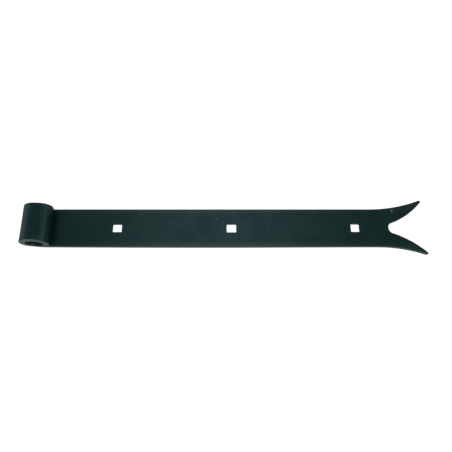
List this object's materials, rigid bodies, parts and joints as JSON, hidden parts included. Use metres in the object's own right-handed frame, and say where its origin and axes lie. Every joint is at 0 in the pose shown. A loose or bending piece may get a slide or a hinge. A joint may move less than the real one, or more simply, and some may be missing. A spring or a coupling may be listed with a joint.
{
  "type": "strap hinge",
  "caption": "Flat steel hinge strap with a rolled eye for a pintle, square bolt holes and a fishtail end, coated black-green.",
  "frame": {"origin": "middle of the eye's bore", "axes": "+Y along the bore, +X along the strap from the eye to the fishtail, +Z away from the door, so the strap lies on its back face"},
  "size_m": [0.3602, 0.0504, 0.025],
  "materials": {
    "bar_coating": "satin black-green coating",
    "weld_coating": "satin black-green coating over weld"
  },
  "bodies": {
    "root": {"strap": "bar_coating", "eye_seam_welds": "weld_coating"}
  },
  "joints": []
}
